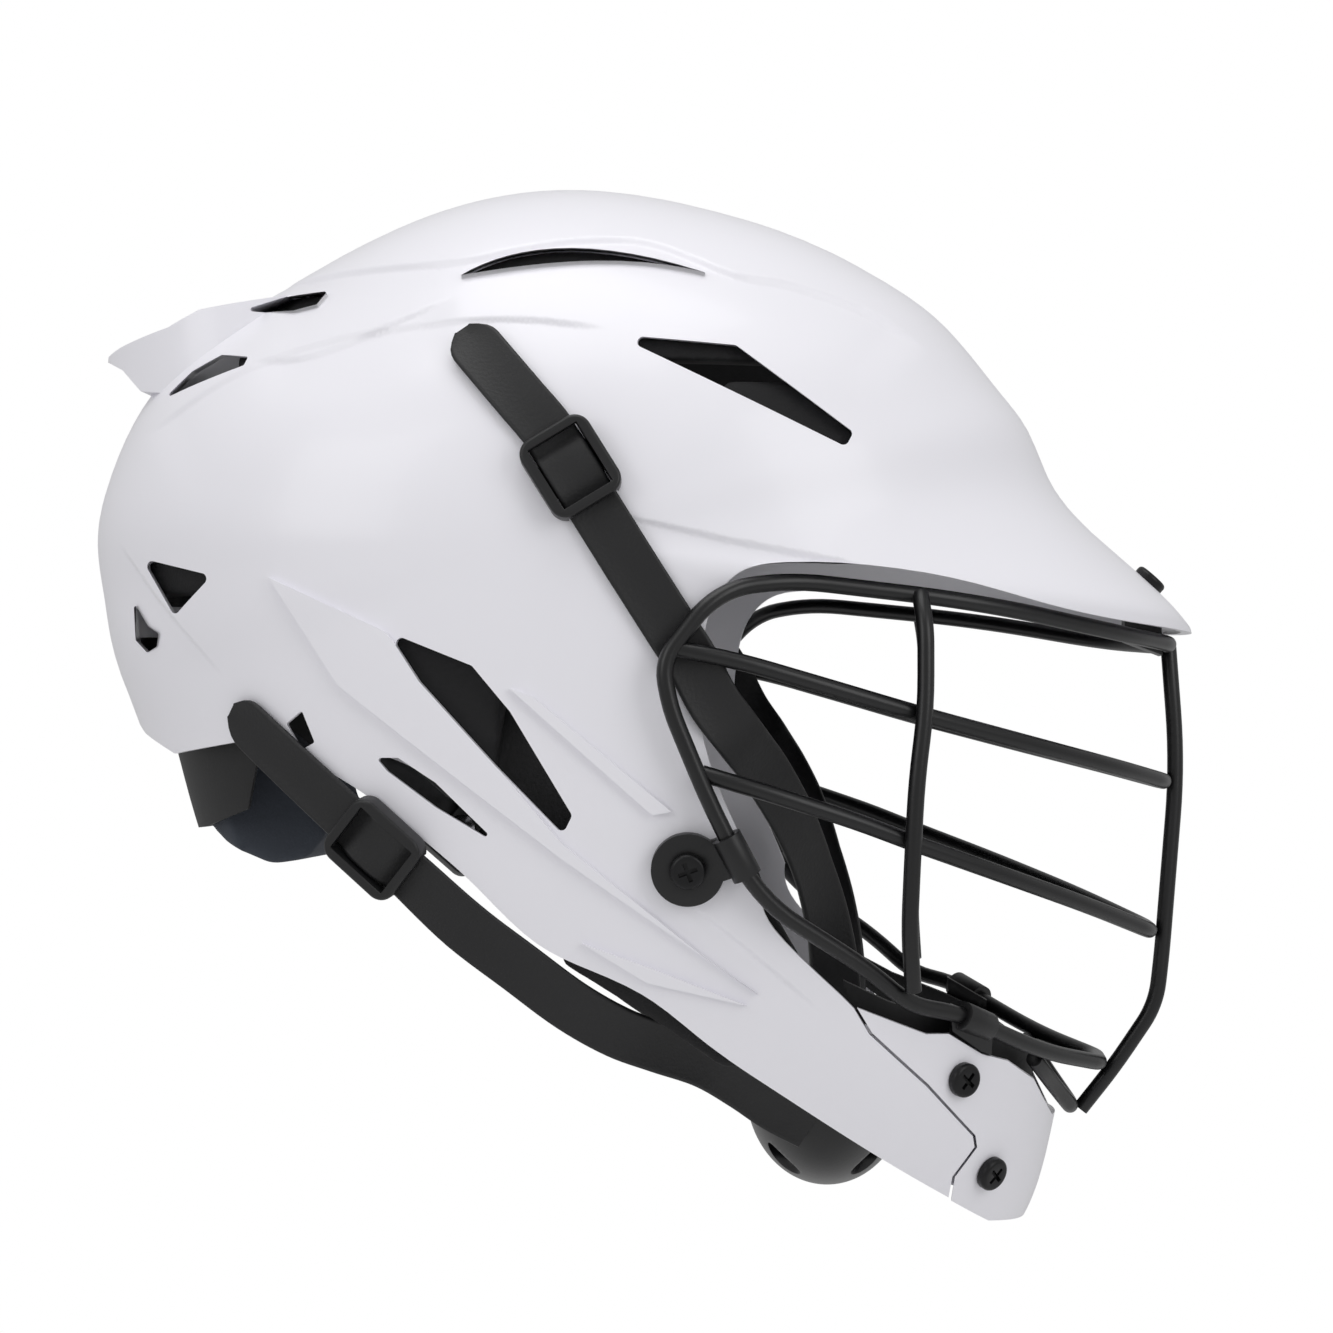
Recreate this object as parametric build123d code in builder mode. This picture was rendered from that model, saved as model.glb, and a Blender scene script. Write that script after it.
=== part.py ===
from build123d import *

import os
from bisect import bisect_left
from math import atan2, cos, hypot, pi, radians, sin, tan

# Youth lacrosse helmet: a moulded shell with a wire face mask, a screwed-on chin guard, foam pads,
# an adjustable nape cradle and a chin cup on four straps that snap onto the shell.
# Millimetres. +X is forward, +Y is the wearer's left, +Z is up. The origin is the middle of the
# space for the head, on the mid-plane, level with the tops of the ears.

os.makedirs("parts", exist_ok=True)

# Driving sizes of the shell
shell_length = 310.0
shell_height = 290.0
half_width = 105.0
wall = 3.0
rib_height = 1.6
rounding = 1.5
fine_rounding = 0.6

# Fits and overruns
fit_gap = 0.3
soft_gap = 0.4
overrun = 20.0

# Face mask
wire_radius = 2.25
bend_share = 0.45

# Fasteners
shank_radius = 2.0
head_radius = 4.7
head_height = 2.6
recess_width = 1.1
recess_length = 5.2
recess_depth = 1.4
head_crown_share = 0.45
seat_lift = 0.2
visor_screw_length = 11.0
nut_radius = 4.4
nut_height = 3.0

# Pads and nape cradle
pad_thickness = 12.0
pad_rounding = 3.0
pocket_radius = 5.4
pocket_depth = 4.5
guard_pad_thickness = 5.0
cradle_thickness = 2.6
cradle_inset = 8.0
cradle_pad_thickness = 9.0
guide_width = 10.0
guide_spacing = 56.0
guide_gap = 1.0

# Straps, buckles and snaps
strap_width = 14.0
strap_thickness = 1.4
strap_lift = 0.9
upper_tail = 34.5
lower_tail = 41.0
buckle_length = 23.5
buckle_width = 20.5
buckle_rail = 2.6
buckle_height = 5.4
buckle_floor = 0.6
middle_bar = 9.6
middle_height = 1.1
buckle_corner = 4.5
buckle_edge = 1.0
end_bar_floor = 2.6
strap_side_gap = 0.4
strap_crest = 3.5
snap_radius = 2.2
snap_height = 1.9
flange_radius = 3.4
flange_height = 0.5
socket_radius = 4.0
rivet_shank = 1.2
rivet_radius = 4.2
rivet_head = 0.6

# Clips that hold the face mask
eyelet_radius = 9.6
clip_thickness = 3.2
sleeve_wall = 1.7
sleeve_length = 11.9
chin_sleeve_length = 12.0
clip_neck = 11.0
clip_web_out = 1.0
tab_thickness = 1.5
tongue_thickness = 2.5
saddle_width = 18.0

# Chin cup
cup_length = 46.0
cup_width = 84.0
cup_depth = 27.0
cup_wall = 2.6
cup_pad_thickness = 6.0
cup_window_radius = 4.5
cup_window_share = 0.25

# Side views are drawn on a grid of 310 steps along the shell and 290 steps up it
steps_along, steps_up = 310, 290


def at(share):
    return (share[0] * shell_length / steps_along, share[1] * shell_height / steps_up)


# The shell seen from the side, as one closed outline. From the visor tip it goes over the crown
# and down the back, and then round the open underside and the front of the chin guard.
outline_shares = [
    (178, -19), (170, -10), (151, 7), (139, 22), (133, 36), (125, 47), (107, 68), (93, 78),
    (70, 90), (46, 98), (23, 103), (0, 104.5), (-28, 100), (-60, 86.5), (-88, 70), (-105, 58),
    (-118, 43), (-127, 24), (-131, 6), (-129, -12), (-126, -28), (-120, -44), (-113, -68),
    (-100, -105), (-74, -150), (-38, -186), (6, -206), (52, -214), (98, -206), (128, -190),
    (139, -162), (148, -118), (160, -70), (174, -32),
]
outline = [Vector(*at(share)) for share in outline_shares]

# Across the width the outline shrinks towards its middle by a superellipse of this power
fullness = 2.2
level_angles = [-86, -81, -72, -60, -45, -30, -15, 0, 15, 30, 45, 60, 72, 81, 86]


def moved_outline(out):
    """The outline with every point moved outwards by out, square to its neighbours' chord."""
    moved = []
    for before, point, after in zip(outline[-1:] + outline, outline, outline[1:] + outline[:1]):
        run = (after - before).normalized()
        moved.append(point + Vector(run.Y, -run.X) * out)
    return moved


def form(out):
    """Right half of the solid whose surface lies out millimetres outside the shell's outer face."""
    points = moved_outline(out)
    with BuildPart() as solid:
        for angle in level_angles:
            share = cos(radians(angle)) ** (2 / fullness)
            height = abs(sin(radians(angle))) ** (2 / fullness) * (half_width + out)
            level = height if angle > 0 else -height
            with BuildSketch(Plane.XZ.offset(level)):
                with BuildLine():
                    Spline(*[(point.X * share, point.Y * share) for point in points], periodic=True)
                make_face()
        loft()
        split(bisect_by=Plane.XZ, keep=Keep.TOP)
    return solid.part


# The same surface as a function, for placing what sits on it
outline_edge = Spline(*[(point.X, point.Y) for point in outline], periodic=True)
samples = 720
polar = sorted(
    (atan2(point.Y, point.X), hypot(point.X, point.Y))
    for point in (outline_edge.position_at(i / samples) for i in range(samples))
)
polar_angles = [angle for angle, reach in polar]
slope_step = 0.5


def outline_reach(x, z):
    """Distance from the origin to the outline, in the direction of x, z."""
    angle = atan2(z, x)
    after = bisect_left(polar_angles, angle) % samples
    (angle_0, reach_0), (angle_1, reach_1) = polar[after - 1], polar[after]
    share = ((angle - angle_0) % (2 * pi)) / ((angle_1 - angle_0) % (2 * pi))
    return reach_0 + (reach_1 - reach_0) * share


def half_width_at(x, z):
    share = min(1, hypot(x, z) / outline_reach(x, z))
    return half_width * (1 - share ** fullness) ** (1 / fullness)


def normal_at(x, z):
    """Outward direction of the shell's right side."""
    along = half_width_at(x + slope_step, z) - half_width_at(x - slope_step, z)
    up = half_width_at(x, z + slope_step) - half_width_at(x, z - slope_step)
    return Vector(-along, -2 * slope_step, -up).normalized()


def skin(share, out=0.0):
    """Point on the shell's right side, out millimetres off its outer face."""
    x, z = at(share)
    return Vector(x, -half_width_at(x, z), z) + normal_at(x, z) * out


def skin_plane(share, toward, out=0.0):
    """Plane on the shell's right side: its X runs to the place toward, its Z points outwards."""
    normal = normal_at(*at(share))
    run = skin(toward) - skin(share)
    return Plane(origin=skin(share, out), x_dir=run - normal * run.dot(normal), z_dir=normal)


reach_across = half_width + overrun


def prism(shares, radius=0.0):
    """Side-view outline of straight runs, corners rounded, carried across the right half."""
    with BuildPart() as bar:
        with BuildSketch(Plane.XZ):
            with BuildLine():
                Polyline(*[at(share) for share in shares], close=True)
            make_face()
            if radius:
                fillet(vertices(), radius)
        extrude(amount=reach_across)
    return bar.part


def layer(outer, inner, shares, radius=0.0):
    """Right half of what lies between two offsets of the form, inside a side-view outline."""
    with BuildPart() as piece:
        add(prism(shares, radius))
        add(form(outer), mode=Mode.INTERSECT)
        add(form(inner), mode=Mode.SUBTRACT)
    return piece.part


def rod(plane, radius, low, high):
    """Round rod square to a plane, from low to high along its normal."""
    with BuildPart() as bar:
        with BuildSketch(plane.offset(low)):
            Circle(radius)
        extrude(amount=high - low)
    return bar.part


def sweep_wire(points, radius):
    """Round wire along straight runs, bent at each point as widely as its runs allow."""
    path_points = [Vector(*across(point)) for point in points]
    bends = []
    for before, point, after in zip(path_points, path_points[1:], path_points[2:]):
        run_in, run_out = point - before, after - point
        turn = radians(run_in.get_angle(run_out))
        bends.append(bend_share * min(run_in.length, run_out.length) / tan(turn / 2))
    with BuildPart() as wire:
        with BuildLine() as path:
            FilletPolyline(*path_points, radius=bends)
        with BuildSketch(Plane(origin=path.line @ 0, z_dir=path.line % 0)):
            Circle(radius)
        sweep()
    return wire.part


def across(share):
    """A place in the model from steps along the shell, a share of its half width and steps up."""
    x, z = at((share[0], share[2]))
    return (x, share[1] * half_width, z)


def write(part, name):
    part.label = name
    export_step(part, f"parts/{name}.step")
    print(name, round(part.volume))


def write_pair(right, name):
    """Write a right-hand piece and its mirror image on the left."""
    write(right.part, f"{name}_right")
    with BuildPart() as left:
        mirror(right.part, about=Plane.XZ)
    write(left.part, f"{name}_left")


def write_whole(right, name):
    """Write a piece, or a set of pieces, of which the right half was built."""
    with BuildPart() as both:
        add(right.part)
        mirror(about=Plane.XZ)
    write(both.part, name)
    return both


# Places of the screws, on the shell's right side, each with a place that its X axis points to
side_clip_share, side_clip_toward = (42, -84.7), (57, -79)
guard_screw_shares = [(113.5, -142), (121, -168.5)]
guard_screw_towards = [(119, -134), (127, -160)]
side_clip_plane = skin_plane(side_clip_share, side_clip_toward)
guard_screw_planes = [skin_plane(*pair) for pair in zip(guard_screw_shares, guard_screw_towards)]

# The visor's screw goes in square to the slope of its top
visor_high, visor_low = Vector(*at((151, 7))), Vector(*at((170, -10)))
visor_spot = visor_high + (visor_low - visor_high) * 0.82
visor_slope = visor_low - visor_high
visor_plane = Plane(
    origin=(visor_spot.X, 0, visor_spot.Y), x_dir=(0, 1, 0), z_dir=(-visor_slope.Y, 0, visor_slope.X)
)

# Places of the snaps and the headings of the straps there, up to the free end and down to the cup
upper_snap, upper_up, upper_down = (11.9, 18.9), (-0.654, 0.757), (0.532, -0.846)
lower_snap, lower_up, lower_down = (-39.5, -79), (-0.744, 0.667), (0.749, -0.662)


def snap_plane_at(snap, down):
    return skin_plane(snap, (snap[0] + down[0], snap[1] + down[1]))


upper_snap_plane = snap_plane_at(upper_snap, upper_down)
lower_snap_plane = snap_plane_at(lower_snap, lower_down)

# Edges of the shell seen from the side
brow_shares = [
    (190, -22), (175, -21), (140, -16), (115, -9.5), (94, -6), (68, -5), (56, -7.5), (49, -15),
    (46, -26), (45, -42), (48, -58), (54, -73), (61, -89),
]
jaw_front_shares = [(61, -89), (62, -97), (67, -104), (78, -115), (85, -122)]
joint_shares = [
    (85, -122), (89, -129), (104, -143.5), (116.5, -158), (117, -161), (111, -169), (110, -175),
]
jaw_lower_shares = [
    (110, -175), (88, -160.5), (64, -144), (46, -131), (31, -119), (18, -112.5), (4, -106),
    (-15, -88.5), (-27, -78), (-45, -64.5), (-81, -52),
]
nape_shares = [
    (-81, -52), (-101, -55), (-113, -49.5), (-126, -40), (-160, -40), (-160, 130), (190, 130),
    (190, -22),
]

# Vents, each cut through both sides, with the rounding of its corners
side_vents = [
    ([(22, 55.5), (54, 53), (85, 30), (83, 26), (54, 40)], rounding),
    ([(-108.5, -2), (-86, -7.5), (-98, -18)], rounding),
    (
        [(-112, -13.5), (-107, -20.5), (-103.5, -22.5), (-104.5, -26), (-108, -27.5), (-112, -24)],
        fine_rounding,
    ),
    ([(-36.5, -23), (-14, -32), (-4, -44), (12, -71), (9.5, -76), (-8, -58), (-28, -36)], rounding),
    ([(-40, -56), (-34, -56), (-24, -62.5), (-7, -79), (-24, -69), (-37, -59.5)], fine_rounding),
    ([(-65, -47), (-60.5, -43.5), (-57, -52), (-61, -54)], fine_rounding),
    ([(-84, 67), (-72, 71), (-58.5, 71), (-61, 67), (-68, 65.8)], fine_rounding),
    ([(-105.5, 42.5), (-97, 50), (-88, 54), (-79, 52.5), (-80, 50)], fine_rounding),
]
crown_vent_upper_shares = [(-20, 73), (-10, 77.8), (17, 80.3), (45, 74)]
crown_vent_lower_shares = [(45, 74), (28, 76.6), (6, 76.2), (-20, 73)]

# Raised ribs along the jaw
rib_shares = [
    [(-69, -8.5), (-37, -23), (9, -78), (46, -108), (60, -118), (10, -83), (-50, -37)],
    [(-4, -38), (2, -40), (38, -70), (33, -71)],
    [(14, -104.5), (32, -111), (57, -121), (31, -115)],
]

# Spoiler across the back, from the side and from above. Its plan is in steps along the shell and
# shares of the half width.
spoiler_side_shares = [
    (-56, 74), (-96, 67.5), (-105.5, 63), (-122, 59), (-127.5, 57.4), (-127.8, 56), (-121, 52.5),
    (-114.5, 46), (-76, 40), (-56, 45),
]
spoiler_plan_shares = [(-130, 0), (-126.5, 0.17), (-116, 0.32), (-100, 0.43), (-82, 0.45), (-58, 0.34)]

# Layers behind the chin guard: the shell's tongue, then the chin clip's tab, then the rubber pad
tongue_out = -wall - fit_gap
tongue_in = tongue_out - tongue_thickness
tab_out = tongue_in - fit_gap
tab_in = tab_out - tab_thickness
tongue_shares = [
    (84, -128), (92, -130), (110, -137), (124, -150), (128, -165), (124, -176), (108, -171),
]
tongue_root_shares = [
    (80, -121), (84.5, -122.5), (88.4, -129.3), (103.4, -144), (115.8, -158.2), (116, -161),
    (110, -169), (103, -170),
]
guard_shares = [
    (85.8, -121.8), (104, -129.4), (110, -129.6), (119, -135.6), (126, -138), (133.4, -144),
    (136, -149.5), (139, -155.5), (150, -157), (150, -186), (131, -184.5), (121, -183),
    (110.7, -176), (111.7, -169.2), (117.7, -161.2), (117.2, -157.8), (104.6, -143), (89.7, -128.6),
]
guard_pad_shares = [
    (82, -115), (94, -121), (110, -126.5), (122, -131.5), (134, -139), (141, -148), (150, -160),
    (150, -172), (122, -172), (118, -150), (104, -138), (84, -124),
]
chin_web_shares = [(110.5, -122), (122, -128), (121.5, -136), (118.5, -134.6), (111, -128.9)]
chin_tab_shares = [(110.5, -126), (121, -132), (118.5, -148), (108.5, -146)]
chin_sleeve_share = 0.2

# Wires of the face mask, right half: steps along the shell, shares of the half width and steps up
rim_shares = [
    (172, 0, -24.5), (172, -0.152, -24.5), (157, -0.467, -22.5), (119, -0.752, -15),
    (69, -0.895, -9.5), (50, -1.01, -12.5), (36, -1.043, -31), (38, -1.038, -43),
    (49, -1.005, -70), (61, -0.957, -93), (88, -0.829, -111), (100, -0.748, -121.5),
    (112, -0.667, -124), (136, -0.381, -136.5), (152.5, -0.114, -141.5), (152.5, 0, -141.5),
]
cage_bar_shares = {
    "cage_upper_bar": [
        (38.5, -1.03, -27.5), (56, -1.0, -31), (80, -0.93, -38), (102, -0.838, -44.5),
        (134, -0.638, -53), (157, -0.39, -59), (170.5, -0.15, -62.8), (170.5, 0, -62.8),
    ],
    "cage_lower_bar": [
        (46, -1.0, -60), (66, -0.971, -66), (87, -0.895, -73), (101, -0.829, -78.5),
        (124, -0.686, -87), (148.5, -0.419, -96.5), (166.5, -0.15, -104.5), (166.5, 0, -104.5),
    ],
    "cage_side_bars": [
        (102.5, -0.81, -12.8), (104, -0.857, -22), (104, -0.871, -43), (101.6, -0.876, -62),
        (100.6, -0.867, -80), (99.6, -0.835, -102), (100.6, -0.79, -117.5),
    ],
    "cage_chin_vee": [
        (133.5, -0.36, -138.5), (139, -0.2, -146.5), (144.5, -0.07, -154), (144.5, 0, -154),
    ],
}
centre_bar_shares = [
    (172.6, 0, -25), (175, 0, -58), (170.5, 0, -112), (168.8, 0, -126), (157, 0, -143.5),
    (147.5, 0, -155.5),
]
cup_share = (76, 0, -150)
cup_forward, cup_up = (1, 0, 0), (0, 0, 1)
saddle_shares = [(159.5, -5.5), (167.5, -12.8), (170, -16), (170.5, -27.5), (160, -23.5)]

# Pads seen from the side
centre_pad_shares = {
    "crown_pad": [(-84, 49), (84, 49), (84, 125), (-84, 125)],
    "brow_pad": [(50, 4), (112, 3), (124, 12), (124, 43.5), (50, 43.5)],
    "back_pad": [(-58, 43.5), (-58, -12), (-140, -12), (-140, 43.5)],
}
side_pad_shares = {
    "temple_pad": [
        (-52, 43.5), (44, 43.5), (44, 6), (36, -12), (10, -30), (-6, -40), (-9, -62), (-20, -68),
        (-40, -50), (-52, -44),
    ],
    "jaw_pad": [
        (8, -110), (20, -117.5), (34, -126.5), (50, -138), (62, -138), (70, -124), (58, -104),
        (50, -84), (38, -78), (22, -92), (8, -102),
    ],
}
cradle_shares = [
    (-125, -22), (-92, -24), (-74, -50), (-79.5, -70), (-95.6, -75.4), (-101, -76), (-125, -76),
]
nape_pad_shares = [
    (-112, -44), (-84, -48), (-66, -62), (-60.5, -77), (-66, -84), (-76, -85.5), (-89, -80),
    (-96, -75), (-110, -66),
]
guide_shares = [(-130, -26), (-110, -26), (-104, -44), (-130, -44)]

# Straps. In the buckle each passes under the end bars and over the middle bar: how far along it,
# up towards the free end or down towards the cup, and how high its middle lies off the shell.
strap_rest = strap_lift + strap_thickness / 2
buckle_pass = [
    (13, strap_rest), (8.6, strap_rest), (4.3, strap_crest - 0.3), (0, strap_crest),
    (-4.3, strap_crest - 0.3), (-8.6, strap_rest), (-12.3, strap_rest),
]

# Each strap's run down to the chin cup: place, run and facing of its cross-sections off the shell
upper_run_shares = [
    ((49, -0.972, -41.5), (8, 5, -12), (0.2, -0.97, 0)),
    ((55.5, -0.925, -50.5), (8, 8, -12), (0.3, -0.95, 0)),
    ((62, -0.81, -60), (7, 10, -13), (0.4, -0.9, 0)),
    ((69, -0.71, -73), (6, 11, -13), (0.5, -0.85, 0.1)),
    ((74, -0.6, -87), (4, 11, -15), (0.6, -0.8, 0.1)),
    ((78, -0.5, -104), (3, 9, -17), (0.5, -0.87, 0)),
    ((79.5, -0.43, -122), (0, 4, -18), (0.2, -0.98, 0)),
    ((79, -0.387, -140), (0, 0, -10), (0, -1, 0)),
    ((79, -0.387, -149.4), (0, 0, -10), (0, -1, 0)),
]
lower_run_shares = [
    ((-17, -0.9, -100), (13, 1, -12), (0, -0.99, -0.1)),
    ((-2.6, -0.872, -111.2), (13, 4, -11), (0.05, -0.98, -0.15)),
    ((10.7, -0.82, -121.6), (12, 7, -9), (0.2, -0.96, -0.2)),
    ((22.5, -0.745, -129), (11, 8, -6), (0.35, -0.9, -0.25)),
    ((33, -0.667, -133.5), (11, 9, -4), (0.45, -0.85, -0.25)),
    ((45, -0.571, -137.5), (11, 11, -4.5), (0.5, -0.8, -0.3)),
    ((54, -0.45, -143), (8, 11, -5), (0.5, -0.75, -0.4)),
]

with BuildPart() as ribs:
    for shares in rib_shares:
        add(prism(shares))
    add(form(rib_height), mode=Mode.INTERSECT)

with BuildPart() as spoiler:
    add(prism(spoiler_side_shares))
    with BuildSketch(Plane.XY.offset(-shell_height)):
        with BuildLine():
            edge = Spline(*[(at((x, 0))[0], -y * half_width) for x, y in spoiler_plan_shares])
            Polyline(edge @ 1, ((edge @ 1).X, 0), edge @ 0)
        make_face()
    extrude(amount=2 * shell_height, mode=Mode.INTERSECT)

# Shell
with BuildPart() as shell:
    add(form(0))
    add(ribs.part)
    add(spoiler.part)
    add(form(-wall), mode=Mode.SUBTRACT)
    with BuildSketch(Plane.XZ):
        with BuildLine():
            Spline(*[at(share) for share in brow_shares])
            Spline(*[at(share) for share in jaw_front_shares])
            Polyline(*[at(share) for share in joint_shares])
            Spline(*[at(share) for share in jaw_lower_shares])
            Polyline(*[at(share) for share in nape_shares])
        make_face()
    extrude(amount=reach_across, mode=Mode.INTERSECT)
    add(layer(-wall / 2, tongue_in, tongue_root_shares))
    add(layer(tongue_out, tongue_in, tongue_shares))
    for shares, radius in side_vents:
        add(prism(shares, radius), mode=Mode.SUBTRACT)
    with BuildSketch(Plane.XZ):
        with BuildLine():
            Spline(*[at(share) for share in crown_vent_upper_shares])
            Spline(*[at(share) for share in crown_vent_lower_shares])
        make_face()
    extrude(amount=reach_across, mode=Mode.SUBTRACT)
    for plane in [side_clip_plane, *guard_screw_planes]:
        add(rod(plane, shank_radius + fit_gap, -overrun, overrun), mode=Mode.SUBTRACT)
    for plane in [upper_snap_plane, lower_snap_plane]:
        add(rod(plane, rivet_shank + fit_gap, -overrun, overrun), mode=Mode.SUBTRACT)
    add(rod(visor_plane, shank_radius + fit_gap, -overrun, overrun), mode=Mode.SUBTRACT)
write_whole(shell, "shell")

# Chin guard, screwed over the shell's tongue
with BuildPart() as chin_guard:
    add(layer(0, -wall, guard_shares))
    for plane in guard_screw_planes:
        add(rod(plane, shank_radius + fit_gap, -overrun, overrun), mode=Mode.SUBTRACT)
write_whole(chin_guard, "chin_guard")

# Rubber pad behind the chin guard's upper edge, with room for the clips and nuts
guard_pad_out = tab_in - soft_gap
with BuildPart() as chin_guard_pad:
    add(layer(guard_pad_out, guard_pad_out - guard_pad_thickness, guard_pad_shares))
    for plane in guard_screw_planes:
        add(rod(plane, nut_radius + soft_gap, -overrun, overrun), mode=Mode.SUBTRACT)
write_whole(chin_guard_pad, "chin_guard_pad")


def screw(plane, seat, length):
    """Pan head with a cross recess on its seat, and a plain shank below."""
    with BuildPart() as piece:
        with BuildSketch(plane.offset(seat)):
            Circle(head_radius)
        extrude(amount=head_height)
        top = piece.faces().sort_by(Axis(plane.origin, plane.z_dir))[-1]
        fillet(top.edges(), head_height * head_crown_share)
        with BuildSketch(plane.offset(seat + head_height - recess_depth)):
            Rectangle(recess_length, recess_width)
            Rectangle(recess_width, recess_length)
        extrude(amount=head_height, mode=Mode.SUBTRACT)
        with BuildSketch(plane.offset(seat)):
            Circle(shank_radius)
        extrude(amount=-length)
    return piece.part


def nut(plane, seat):
    with BuildPart() as piece:
        with BuildSketch(plane.offset(seat - nut_height)):
            RegularPolygon(nut_radius, 6)
            Circle(shank_radius, mode=Mode.SUBTRACT)
        extrude(amount=nut_height)
    return piece.part


# Screws and nuts of the chin guard. The upper screw also holds the chin clip's tab.
guard_nut_seats = [tab_in - seat_lift, tongue_in - seat_lift]
with BuildPart() as guard_screws:
    for plane, seat in zip(guard_screw_planes, guard_nut_seats):
        add(screw(plane, seat_lift, seat_lift - seat + nut_height))
write_whole(guard_screws, "chin_guard_screws")
with BuildPart() as guard_nuts:
    for plane, seat in zip(guard_screw_planes, guard_nut_seats):
        add(nut(plane, seat))
write_whole(guard_nuts, "chin_guard_nuts")

# Face mask: a closed rim and the bars welded to it
with BuildPart() as cage_rim:
    add(sweep_wire(rim_shares, wire_radius))
write_whole(cage_rim, "cage_rim")
for name, shares in cage_bar_shares.items():
    with BuildPart() as bar:
        add(sweep_wire(shares, wire_radius))
    write_whole(bar, name)
write(sweep_wire(centre_bar_shares, wire_radius), "cage_centre_bar")


def sleeve_at(start, end, share):
    """Middle and direction of a sleeve round the wire between two of its places."""
    low, high = Vector(*across(start)), Vector(*across(end))
    return Plane(origin=low + (high - low) * share, z_dir=high - low)


# Side clip: an eyelet screwed to the shell, a neck and a sleeve round the rim
side_sleeve = sleeve_at(rim_shares[8], rim_shares[9], 0.5)
clip_base = side_clip_plane.offset(fit_gap)
side_reach = clip_base.to_local_coords(side_sleeve.origin)
with BuildPart() as side_clip:
    with BuildSketch(clip_base):
        Circle(eyelet_radius)
        with BuildLine():
            neck = Line((0, 0), (side_reach.X, side_reach.Y))
        trace(line_width=clip_neck)
    extrude(amount=clip_thickness)
    add(rod(side_sleeve, wire_radius + sleeve_wall, -sleeve_length / 2, sleeve_length / 2))
    add(rod(side_clip_plane, shank_radius + fit_gap, -overrun, overrun), mode=Mode.SUBTRACT)
    add(cage_rim.part, mode=Mode.SUBTRACT)
write_pair(side_clip, "side_clip")

side_nut_seat = -wall - seat_lift
with BuildPart() as side_clip_screws:
    seat = fit_gap + clip_thickness + seat_lift
    add(screw(side_clip_plane, seat, seat - side_nut_seat + nut_height))
write_whole(side_clip_screws, "side_clip_screws")
with BuildPart() as side_clip_nuts:
    add(nut(side_clip_plane, side_nut_seat))
write_whole(side_clip_nuts, "side_clip_nuts")

# Chin clip: a sleeve round the rim's lower run and a tab behind the chin guard
chin_sleeve = sleeve_at(rim_shares[12], rim_shares[13], chin_sleeve_share)
with BuildPart() as chin_clip:
    add(rod(chin_sleeve, wire_radius + sleeve_wall, -chin_sleeve_length / 2, chin_sleeve_length / 2))
    add(layer(clip_web_out, tab_in, chin_web_shares))
    add(layer(tab_out, tab_in, chin_tab_shares))
    add(rod(guard_screw_planes[0], shank_radius + fit_gap, -overrun, overrun), mode=Mode.SUBTRACT)
    add(cage_rim.part, mode=Mode.SUBTRACT)
write_pair(chin_clip, "chin_clip")

# Visor clip: a saddle under the brim that holds the rim's front from behind
with BuildPart() as visor_clip:
    with BuildSketch(Plane.XZ.offset(-saddle_width / 2)):
        with BuildLine():
            Polyline(*[at(share) for share in saddle_shares], close=True)
        make_face()
    extrude(amount=saddle_width)
    add(rod(visor_plane, shank_radius, -overrun, 0), mode=Mode.SUBTRACT)
    add(cage_rim.part, mode=Mode.SUBTRACT)
    mirror(cage_rim.part, about=Plane.XZ, mode=Mode.SUBTRACT)
write(visor_clip.part, "visor_clip")
write(screw(visor_plane, seat_lift, visor_screw_length), "visor_screw")

# Foam pads, held to the inside of the shell
pad_out = -wall - soft_gap
pad_in = pad_out - pad_thickness
for name, shares in centre_pad_shares.items():
    with BuildPart() as pad:
        add(layer(pad_out, pad_in, shares, pad_rounding))
    write_whole(pad, name)
for name, shares in side_pad_shares.items():
    with BuildPart() as pad:
        add(layer(pad_out, pad_in, shares, pad_rounding))
        for plane in [side_clip_plane, upper_snap_plane, lower_snap_plane]:
            add(rod(plane, pocket_radius, pad_out - pocket_depth, overrun), mode=Mode.SUBTRACT)
    write_pair(pad, name)

# Nape cradle: a plate that slides in guides inside the back of the shell, with its own pad
cradle_out = -cradle_inset
cradle_in = cradle_out - cradle_thickness
with BuildPart() as nape_cradle:
    add(layer(cradle_out, cradle_in, cradle_shares, rounding))
write_whole(nape_cradle, "nape_cradle")
cradle_pad_out = cradle_in - soft_gap
with BuildPart() as nape_pad:
    add(layer(cradle_pad_out, cradle_pad_out - cradle_pad_thickness, nape_pad_shares, pad_rounding))
write_whole(nape_pad, "nape_pad")
with BuildPart() as cradle_guides:
    add(layer(-wall, cradle_out + guide_gap, guide_shares))
    with BuildSketch(Plane.XY.offset(-shell_height)):
        with Locations((-shell_length / 2, -guide_spacing / 2)):
            Rectangle(shell_length, guide_width)
    extrude(amount=2 * shell_height, mode=Mode.INTERSECT)
write_whole(cradle_guides, "cradle_guides")

# Snap studs, riveted through the shell
with BuildPart() as snap_studs:
    for plane in [upper_snap_plane, lower_snap_plane]:
        add(rod(plane, flange_radius, seat_lift, flange_height))
        add(rod(plane, snap_radius, seat_lift, snap_height))
        add(rod(plane, rivet_shank, -wall - rivet_head, flange_height))
        add(rod(plane, rivet_radius, -wall - rivet_head, -wall - seat_lift))
write_whole(snap_studs, "snap_studs")


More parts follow.
